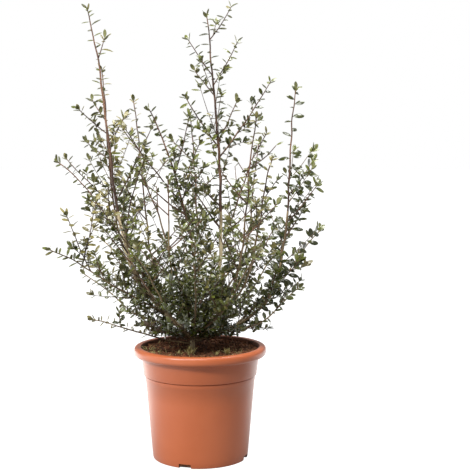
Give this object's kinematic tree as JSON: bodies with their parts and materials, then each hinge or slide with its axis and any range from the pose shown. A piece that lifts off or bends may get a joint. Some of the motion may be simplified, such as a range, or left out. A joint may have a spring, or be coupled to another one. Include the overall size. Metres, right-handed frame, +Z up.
{
  "type": "potted evergreen shrub",
  "caption": "Young evergreen holly shrub with many thin upright shoots of small oval leaves, in a round tapered terracotta coloured plastic nursery pot.",
  "frame": {"origin": "centre of the pot's flat underside, on the floor", "axes": "+Z up along the pot's axis, -Y towards the front, +X to the viewer's right"},
  "size_m": [0.4615, 0.3749, 0.7681],
  "materials": {
    "pot_plastic": "satin",
    "soil": "matte",
    "bark": "matte",
    "foliage": "satin"
  },
  "bodies": {
    "root": {"pot": "pot_plastic", "soil": "soil", "trunk": "bark", "bough_left_leader": "bark", "bough_right_leader": "bark", "bough_centre_leader": "bark", "bough_mid_left": "bark", "bough_right_inner": "bark", "bough_slope_left": "bark", "bough_back_centre": "bark", "bough_left_rim": "bark", "bough_front_low_left": "bark", "bough_front_low": "bark", "bough_front_low_right": "bark", "bough_back_low": "bark", "bough_back_low_right": "bark", "bough_left_twin": "bark", "bough_left_reach": "bark", "bough_left_inner": "bark", "bough_left_low": "bark", "bough_back_left": "bark", "bough_left_sweep": "bark", "bough_back_low_left": "bark", "bough_centre_right": "bark", "bough_cross_right": "bark", "bough_back_right": "bark", "bough_right_reach": "bark", "bough_right_low": "bark", "bough_front_right": "bark", "bough_front_left": "bark", "mass_left_leader": "foliage", "mass_right_leader": "foliage", "mass_centre_leader": "foliage", "mass_mid_left": "foliage", "mass_right_inner": "foliage", "mass_slope_left": "foliage", "mass_back_centre": "foliage", "mass_left_rim": "foliage", "mass_front_low_left": "foliage", "mass_front_low": "foliage", "mass_front_low_right": "foliage", "mass_back_low": "foliage", "mass_back_low_right": "foliage", "mass_left_twin": "foliage", "mass_left_reach": "foliage", "mass_left_inner": "foliage", "mass_left_low": "foliage", "mass_back_left": "foliage", "mass_left_sweep": "foliage", "mass_back_low_left": "foliage", "mass_centre_right": "foliage", "mass_cross_right": "foliage", "mass_back_right": "foliage", "mass_right_reach": "foliage", "mass_right_low": "foliage", "mass_front_right": "foliage", "mass_front_left": "foliage"}
  },
  "joints": []
}
